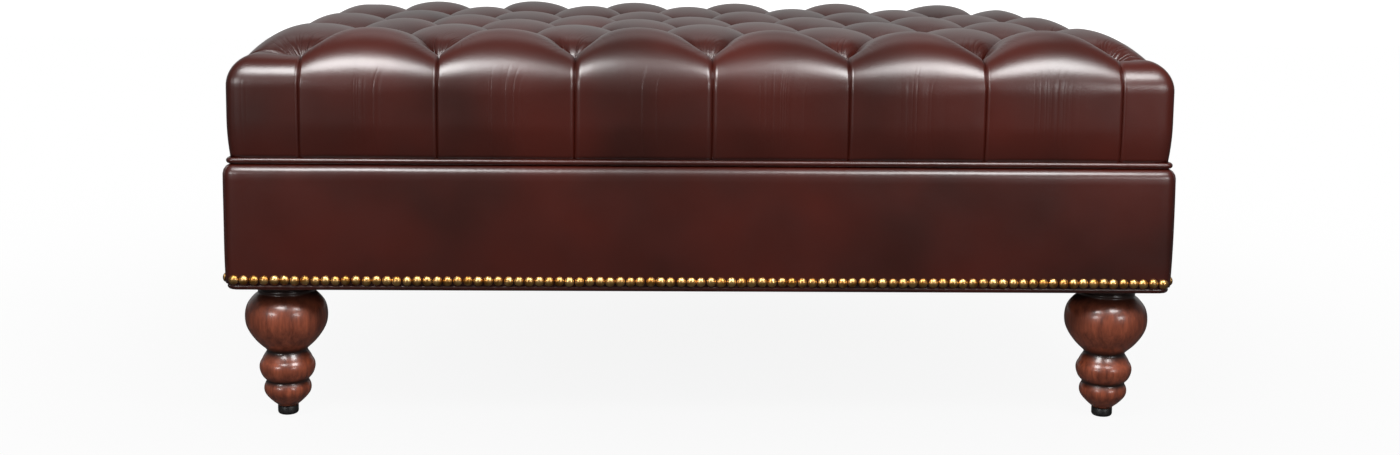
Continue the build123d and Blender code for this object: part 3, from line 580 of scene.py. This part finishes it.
def kept_mesh(name, shaped):
    """Keeps a shape as a mesh that repeated can copy."""
    mesh = bpy.data.meshes.new(name)
    shaped.to_mesh(mesh)
    shaped.free()
    return mesh


def repeated(name, pattern, matrices):
    """One object that holds a copy of a mesh at each place."""
    joined = bmesh.new()
    for matrix in matrices:
        before = len(joined.verts)
        joined.from_mesh(pattern)
        joined.verts.ensure_lookup_table()
        bmesh.ops.transform(joined, matrix=matrix, verts=joined.verts[before:])
    return settle(name, joined)


button_outline = domed(button_foot_radius, button_radius, button_edge, button_height,
                       button_rings, dome_foot=button_edge)
button_mesh = kept_mesh("one_button", spun(button_outline, button_steps))
buttons = repeated("tuft_buttons_covered", button_mesh, [
    Matrix.Translation((tuft_x, tuft_y, buttons_low.z))
    @ Matrix.Rotation(chance.uniform(0, any_turn), 4, "Z")
    @ Matrix.Rotation(chance.uniform(-button_tilt, button_tilt), 4, "X")
    for tuft_x, tuft_y in tufts
])
shade(buttons, "waxed_button_hide", hide_colour, hide_roughness, hide_grain,
      relief=0.00015, fixed=leather_fixed)
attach(buttons, "ottoman")
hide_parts("tuft_buttons")

# Welts are cords wrapped in the same leather, sewn at the foot of the cushion and at the
# foot of the box, one to a side and mitred at the corners.
side_turns = {"front": 0, "right": 1, "rear": 2, "left": 3}
welt_sides = 12
welt_step = 0.018
welt_corner_steps = 4
welt_corner_radii = {"cushion_welt": 0.006, "bottom_welt": 0.01205}


def welt(name, side, node_end, corner_radius):
    """One side's welt: a tube from mitre to mitre with half a corner at each end. It is
    made as the front one and then turned to its side."""
    low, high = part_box("front_" + node_end)
    radius = (high.z - low.z) / 2
    level = (high.z + low.z) / 2
    out, half_run = -low.y - radius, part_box("right_" + node_end)[1].x - radius
    turn = side_turns[side]
    if side in ("left", "right"):
        out, half_run = half_run, out
    straight_run = 2 * (half_run - corner_radius)
    straight_steps = round(straight_run / welt_step)
    tube = bmesh.new()
    corner = Vector((-half_run + corner_radius, -out + corner_radius, level))
    start = corner + Vector((-math.sqrt(0.5), -math.sqrt(0.5), 0)) * corner_radius
    bmesh.ops.create_circle(
        tube, cap_ends=False, segments=welt_sides, radius=radius,
        matrix=Matrix.Translation(start) @ Matrix.Rotation(-math.pi / 4, 4, "Z")
        @ Matrix.Rotation(math.pi / 2, 4, "Y"),
    )
    end = tube.edges[:]
    for centre in (corner, None, Vector((-corner.x, corner.y, level))):
        if centre is None:
            for _ in range(straight_steps):
                grown = bmesh.ops.extrude_edge_only(tube, edges=end)["geom"]
                end = [part for part in grown if isinstance(part, bmesh.types.BMEdge)
                       and len(part.link_faces) == 1]
                moved = [part for part in grown if isinstance(part, bmesh.types.BMVert)]
                bmesh.ops.translate(tube, verts=moved, vec=(straight_run / straight_steps, 0, 0))
        else:
            rim = list(dict.fromkeys(vertex for edge in end for vertex in edge.verts))
            swept = bmesh.ops.spin(
                tube, geom=end + rim, cent=centre, axis=(0, 0, 1), angle=math.pi / 4,
                steps=welt_corner_steps,
            )["geom_last"]
            end = [part for part in swept if isinstance(part, bmesh.types.BMEdge)]
    bmesh.ops.holes_fill(tube, edges=[edge for edge in tube.edges if edge.is_boundary])
    bmesh.ops.rotate(tube, verts=tube.verts[:], cent=(0, 0, 0),
                     matrix=Matrix.Rotation(turn * math.pi / 2, 3, "Z"))
    return settle(name, tube)


def welt_grain(place):
    """Leather drawn round a cord: grain with small wrinkles."""
    wrinkle_height = 1.5
    return hide_grain(place) + place.noise(scale=210, detail=2, roughness=0.5) * wrinkle_height


for side in side_turns:
    for node_end, corner_radius in welt_corner_radii.items():
        cord = welt(f"{side}_{node_end}_covered", side, node_end, corner_radius)
        shade(cord, "waxed_welt_hide", hide_colour, hide_roughness, welt_grain,
              relief=0.0002, fixed=leather_fixed)
        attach(cord, "ottoman")
        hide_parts(f"{side}_{node_end}")

# The box is wrapped in leather over thin padding, one band to each side, mitred at the
# corners. Each band rolls over the box's upper edge, swells a little and is nailed along
# its foot.
band_low, band_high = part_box("front_apron_leather")
band_half_x, band_half_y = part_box("right_apron_leather")[1].x, -band_low.y
band_height = band_high.z - band_low.z
band_corner_radius = 0.014
band_corner_steps = 5
band_roll_radius = 0.013
band_roll_steps = 4
band_thickness = 0.002
band_lap = 0.026
band_step = 0.009
band_long_edge = 0.1
band_face_corners = 8
band_corner_zone = 0.02
facing_up = 0.99
band_swell = 0.0011
band_swell_power = 0.7
band_foot_draw = 0.0008
band_ripple = 0.00028
band_ripple_count = 9
ripples_along, ripples_up, ripple_strengths = (9, 34), (5, 30), (0.2, 1.0)
band_level_gap = 0.0001

box = bmesh.new()
bmesh.ops.create_cube(box, size=1.0)
bmesh.ops.scale(box, verts=box.verts[:], vec=(2 * band_half_x, 2 * band_half_y, band_height))
bmesh.ops.translate(box, verts=box.verts[:], vec=(0, 0, (band_high.z + band_low.z) / 2))
upright = [edge for edge in box.edges
           if abs(edge.verts[0].co.z - edge.verts[1].co.z) > band_height / 2]
bmesh.ops.bevel(box, geom=upright, offset=band_corner_radius, segments=band_corner_steps,
                profile=0.5, affect="EDGES", material=-1)
upper = [edge for edge in box.edges
         if all(vertex.co.z > band_high.z - band_level_gap for vertex in edge.verts)]
bmesh.ops.bevel(box, geom=upper, offset=band_roll_radius, segments=band_roll_steps,
                profile=0.5, affect="EDGES", material=-1)
top = [face for face in box.faces if face.normal.z > facing_up]
bmesh.ops.inset_region(box, faces=top, thickness=band_lap - band_roll_radius)

# The leather is open below, and above inside its lap. Those two faces have more corners
# than any face of the bands.
open_faces = [face for face in box.faces if len(face.verts) > band_face_corners]
bmesh.ops.delete(box, geom=open_faces, context="FACES")
for axis, run in enumerate((2 * band_half_x, 2 * band_half_y, band_height)):
    long_edges = [edge for edge in box.edges
                  if abs(edge.verts[0].co[axis] - edge.verts[1].co[axis]) > band_long_edge]
    bmesh.ops.subdivide_edges(
        box, edges=long_edges, cuts=round(run / band_step), use_grid_fill=True
    )
bmesh.ops.recalc_face_normals(box, faces=box.faces[:])
box_mesh = kept_mesh("box_leather", box)

mitre_end = band_half_x - band_half_y
band_wave = random.Random(11)
waves = [
    (band_wave.uniform(*ripples_along), band_wave.uniform(*ripples_up),
     band_wave.uniform(0, any_turn), band_wave.uniform(*ripple_strengths))
    for _ in range(band_ripple_count)
]


def band_lift(place):
    """How far the leather stands out over its padding."""
    height_share = (place.z - band_low.z) / band_height
    belly = math.sin(math.pi * min(max(height_share, 0), 1)) ** band_swell_power
    on_long_side = abs(place.y) > band_half_y - band_corner_zone
    run = place.x if on_long_side else place.y
    ripple = sum(strength * math.sin(along * run + up * place.z + phase)
                 for along, up, phase, strength in waves)
    foot = band_foot_draw * (1 - height_share) ** 3
    return (band_swell + band_ripple * ripple) * belly - foot


side_signs = {"front": (0, -1), "rear": (0, 1), "left": (-1, 0), "right": (1, 0)}

for side, (sign_x, sign_y) in side_signs.items():
    band = bmesh.new()
    band.from_mesh(box_mesh)
    for other in (-1, 1):
        if sign_y:
            point, normal = (other * mitre_end, 0, 0), Vector((other, -sign_y, 0))
        else:
            point, normal = (sign_x * mitre_end, 0, 0), Vector((-sign_x, other, 0))
        bmesh.ops.bisect_plane(
            band, geom=band.verts[:] + band.edges[:] + band.faces[:], dist=merge_gap,
            plane_co=point, plane_no=normal.normalized(), clear_outer=True,
        )
    band.normal_update()
    for vertex in band.verts:
        if vertex.co.z < band_high.z - band_level_gap:
            level_facing = Vector((vertex.normal.x, vertex.normal.y, 0))
            vertex.co += level_facing * band_lift(vertex.co)
    piece = settle(f"{side}_apron_cover", band)
    solid = piece.modifiers.new("thickness", "SOLIDIFY")
    solid.thickness, solid.offset = band_thickness, -1
    shade(piece, "waxed_apron_hide", hide_colour, hide_roughness, hide_grain,
          relief=0.00022, fixed=leather_fixed)
    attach(piece, "ottoman")
    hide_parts(f"{side}_apron_leather")

# Dome nails in antique brass stand close in one row above the bottom welt and hold the
# leather. Each is driven by hand, so no two sit quite alike.
nail_radius = 0.0063
nail_foot_radius = nail_radius * 0.93
nail_height = 0.0044
nail_edge = nail_height * 0.12
nail_rings = 4
nail_steps = 16
nail_pitch = 0.013
nail_stray = 0.0004
nail_tilt = 0.05
nail_scales = (0.97, 1.02)


def nail_colour(place):
    """Antique brass, browner in places."""
    browner = place.noise(scale=90, detail=2, roughness=0.5).ramp((0.38, 0), (0.62, 1))
    return browner.blend(rgb(184, 130, 66), rgb(236, 192, 126))


def nail_roughness(place):
    """Worn brass."""
    least, spread = 0.32, 0.1
    return place.noise(scale=300, detail=2, roughness=0.5) * spread + least


def nail_dents(place):
    """The faint dents of a hammer."""
    return place.noise(scale=420, detail=1, roughness=0.5)


nail_outline = domed(nail_foot_radius, nail_radius, nail_edge, nail_height, nail_rings)
nail_mesh = kept_mesh("one_nail", spun(nail_outline, nail_steps))
nail_chance = random.Random(23)
for side, turn in side_turns.items():
    low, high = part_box(f"{side}_nails")
    level = (low.z + high.z) / 2
    if side in ("front", "rear"):
        half_run, face = (high.x - low.x) / 2 - nail_radius, band_half_y
    else:
        half_run, face = (high.y - low.y) / 2 - nail_radius, band_half_x
    spaces = round(2 * half_run / nail_pitch)
    seats = []
    for space in range(spaces + 1):
        spot = -half_run + 2 * half_run * space / spaces
        seats.append(
            Matrix.Rotation(turn * math.pi / 2, 4, "Z")
            @ Matrix.Translation((spot + nail_chance.uniform(-nail_stray, nail_stray), -face,
                                  level + nail_chance.uniform(-nail_stray, nail_stray)))
            @ Matrix.Rotation(math.pi / 2 + nail_chance.uniform(-nail_tilt, nail_tilt), 4, "X")
            @ Matrix.Rotation(nail_chance.uniform(-nail_tilt, nail_tilt), 4, "Y")
            @ Matrix.Scale(nail_chance.uniform(*nail_scales), 4)
        )
    row = repeated(f"{side}_dome_nails", nail_mesh, seats)
    shade(row, "antique_brass", nail_colour, nail_roughness, nail_dents,
          relief=0.00005, fixed={"Metallic": 1.0})
    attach(row, "ottoman")
    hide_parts(f"{side}_nails")

# Each leg is turned from one blank: a ringed neck, a large ball and two rings on a
# tapered foot. The wood is stained and lacquered, and painted shade darkens its grooves.
# The outline gives a radius at each level, from the top down.
leg_outline = (
    (0.0385, 0.1840), (0.0382, 0.1790), (0.0362, 0.1782), (0.0362, 0.1765), (0.0376, 0.1755),
    (0.0378, 0.1730), (0.0366, 0.1718), (0.0358, 0.1712), (0.0370, 0.1700), (0.0372, 0.1680),
    (0.0362, 0.1668), (0.0366, 0.1650), (0.0408, 0.1625), (0.0456, 0.1575), (0.0503, 0.1515),
    (0.0528, 0.1450), (0.0540, 0.1380), (0.0541, 0.1315), (0.0533, 0.1245), (0.0512, 0.1180),
    (0.0459, 0.1085), (0.0372, 0.0978), (0.0302, 0.0920), (0.0272, 0.0890), (0.0262, 0.0870),
    (0.0282, 0.0835), (0.0305, 0.0805), (0.0322, 0.0770), (0.0330, 0.0748), (0.0352, 0.0722),
    (0.0366, 0.0675), (0.0366, 0.0635), (0.0354, 0.0580), (0.0326, 0.0522), (0.0290, 0.0488),
    (0.0273, 0.0468), (0.0284, 0.0440), (0.0306, 0.0405), (0.0311, 0.0360), (0.0308, 0.0325),
    (0.0292, 0.0282), (0.0244, 0.0226), (0.0190, 0.0172), (0.0142, 0.0136), (0.0132, 0.0121),
)
leg_steps = 48
leg_end_inset = 0.0006
groove_levels = (0.0468, 0.0872, 0.1700)
groove_widths = (0.0045, 0.006, 0.015)
corners = ("front_left", "front_right", "rear_left", "rear_right")


def leg_colour(place):
    """Mahogany stain over a straight grain, with painted shade darkening the grooves."""
    grain_share, fleck_share = 0.75, 0.25
    grain = place.stretched(1, 1, 0.16).noise(scale=130, detail=5, roughness=0.65, distortion=0.4)
    flecks = place.stretched(1, 1, 0.08).noise(scale=520, detail=2, roughness=0.6)
    tone = (grain * grain_share + flecks * fleck_share).ramp((0.36, 0), (0.66, 1))
    plain = tone.blend(rgb(86, 39, 25), rgb(142, 72, 48))
    # Painted shade: the grooves, and most broadly the cove under the neck, are darkened where
    # shade falls on the turning.
    shadow = 0.0
    for level, width in zip(groove_levels, groove_widths):
        gap = (place.axis("Z") - level) / width
        shadow = (gap * gap * -1).math("EXPONENT") + shadow
    return shadow.math("MINIMUM", 1.0).blend(plain, rgb(34, 16, 11))


def leg_roughness(place):
    """Rubbed lacquer."""
    least, spread = 0.3, 0.1
    return place.noise(scale=60, detail=3, roughness=0.6) * spread + least


def leg_grain(place):
    """The grain stands through the lacquer a little."""
    return place.stretched(1, 1, 0.1).noise(scale=380, detail=2, roughness=0.5)


turning = spun(leg_outline, leg_steps)
leg_ends = [face for face in turning.faces if len(face.verts) > 4]
for face in leg_ends:
    bmesh.ops.inset_individual(turning, faces=[face], thickness=leg_end_inset)
leg_mesh = kept_mesh("turned_leg", turning)

for corner in corners:
    low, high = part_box(f"{corner}_leg")
    middle = (low + high) / 2
    leg = repeated(f"{corner}_turned_leg", leg_mesh, [
        Matrix.Translation((middle.x, middle.y, 0))
        @ Matrix.Rotation(chance.uniform(0, any_turn), 4, "Z")
    ])
    rounding = leg.modifiers.new("rounding", "SUBSURF")
    rounding.levels = rounding.render_levels = 1
    shade(leg, "stained_mahogany", leg_colour, leg_roughness, leg_grain,
          relief=0.00004, fixed={"Coat Weight": 0.6, "Coat Roughness": 0.2})
    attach(leg, "ottoman")
    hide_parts(f"{corner}_leg")

# Under each leg is a levelling glide, moulded in black plastic on a threaded stem. It
# screws in and out of the foot, and its rim is rounded so that it slides on the floor.
glide_floor_radius = 0.0095
glide_rim_steps = 5
glide_bevel = 0.0006
glide_steps = 40


def glide_colour(place):
    """Black moulded plastic, dusty in places."""
    dusty = place.noise(scale=160, detail=3, roughness=0.6).ramp((0.4, 0), (0.75, 1))
    return dusty.blend(rgb(20, 19, 19), rgb(40, 38, 37))


def glide_roughness(place):
    """Moulded plastic."""
    least, spread = 0.35, 0.2
    return place.noise(scale=300, detail=2, roughness=0.5) * spread + least


def glide_grain(place):
    """A moulded stipple."""
    return place.noise(scale=900, detail=2, roughness=0.5)


for corner in corners:
    low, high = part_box(f"{corner}_glide_base")
    radius = (high.x - low.x) / 2
    rim_radius = radius - glide_floor_radius
    stops = [(glide_floor_radius, low.z)]
    for step in range(1, glide_rim_steps + 1):
        turn = math.pi / 2 * step / glide_rim_steps
        stops.append((glide_floor_radius + rim_radius * math.sin(turn),
                      low.z + rim_radius * (1 - math.cos(turn))))
    stops += [(radius, high.z - glide_bevel), (radius - glide_bevel, high.z)]
    pad = spun(stops, glide_steps)
    middle = (low + high) / 2
    bmesh.ops.translate(pad, verts=pad.verts[:], vec=(middle.x, middle.y, 0))
    glide = settle(f"{corner}_glide_pad", pad)
    shade(glide, "black_moulding", glide_colour, glide_roughness, glide_grain, relief=0.0001)
    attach(glide, f"{corner}_glide")
    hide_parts(f"{corner}_glide_base")


# Inside, the frame is sawn hardwood under a plywood deck, with foam and wadding above
# and dust cloth below. These pieces keep their built shapes.
def sawn_colour(place):
    """Pale hardwood, sawn and left bare."""
    drawn_out = place.stretched(0.12, 0.12, 1)
    grain = drawn_out.noise(scale=150, detail=4, roughness=0.6, distortion=0.5)
    return grain.ramp((0.35, 0), (0.65, 1)).blend(rgb(172, 134, 96), rgb(204, 170, 130))


def sawn_roughness(place):
    """Bare wood."""
    least, spread = 0.7, 0.1
    return place.noise(scale=200, detail=2, roughness=0.5) * spread + least


def sawn_marks(place):
    """Saw marks across the boards."""
    return place.stretched(1, 1, 0.2).noise(scale=600, detail=3, roughness=0.6)


def foam_colour(place):
    """Cream foam."""
    pores = place.noise(scale=400, detail=3, roughness=0.7)
    return pores.blend(rgb(214, 205, 170), rgb(236, 230, 204))


def fibre_colour(place):
    """White fibre wadding."""
    tufts_of_fibre = place.noise(scale=240, detail=4, roughness=0.7)
    return tufts_of_fibre.blend(rgb(214, 213, 208), rgb(240, 240, 236))


def twine_colour(place):
    """Waxed linen twine."""
    strands = place.noise(scale=900, detail=2, roughness=0.5)
    return strands.blend(rgb(150, 124, 84), rgb(198, 172, 130))


def cloth_colour(place):
    """Black non-woven cloth."""
    fibres = place.noise(scale=700, detail=3, roughness=0.6)
    return fibres.blend(rgb(22, 22, 24), rgb(48, 48, 52))


def steel_colour(place):
    """Zinc-plated steel."""
    spangle = place.noise(scale=500, detail=2, roughness=0.6)
    return spangle.blend(rgb(140, 142, 146), rgb(190, 192, 194))


def soft_roughness(place):
    """Dull and fibrous."""
    least, spread = 0.85, 0.1
    return place.noise(scale=300, detail=2, roughness=0.5) * spread + least


def steel_roughness(place):
    """Plated steel."""
    least, spread = 0.3, 0.2
    return place.noise(scale=400, detail=2, roughness=0.5) * spread + least


def fine_height(place):
    """A fuzzy, woven or plated surface."""
    return place.noise(scale=1200, detail=3, roughness=0.7)


inner_finishes = {
    "frame_wood": (sawn_colour, sawn_roughness, sawn_marks, {}),
    "deck_plywood": (sawn_colour, sawn_roughness, sawn_marks, {}),
    "foam": (foam_colour, soft_roughness, fine_height, {}),
    "wadding_fibre": (fibre_colour, soft_roughness, fine_height, {}),
    "twine": (twine_colour, soft_roughness, fine_height, {}),
    "dust_cloth": (cloth_colour, soft_roughness, fine_height, {}),
    "zinc_steel": (steel_colour, steel_roughness, fine_height, {"Metallic": 1.0}),
}
for subpart in frame["record"]["subparts"]:
    if subpart["material_slot"] in inner_finishes:
        colour, roughness, height, fixed = inner_finishes[subpart["material_slot"]]
        shade(frame["nodes"][subpart["node"]], f"{subpart['material_slot']}_finish",
              colour, roughness, height, relief=0.0002, fixed=fixed)
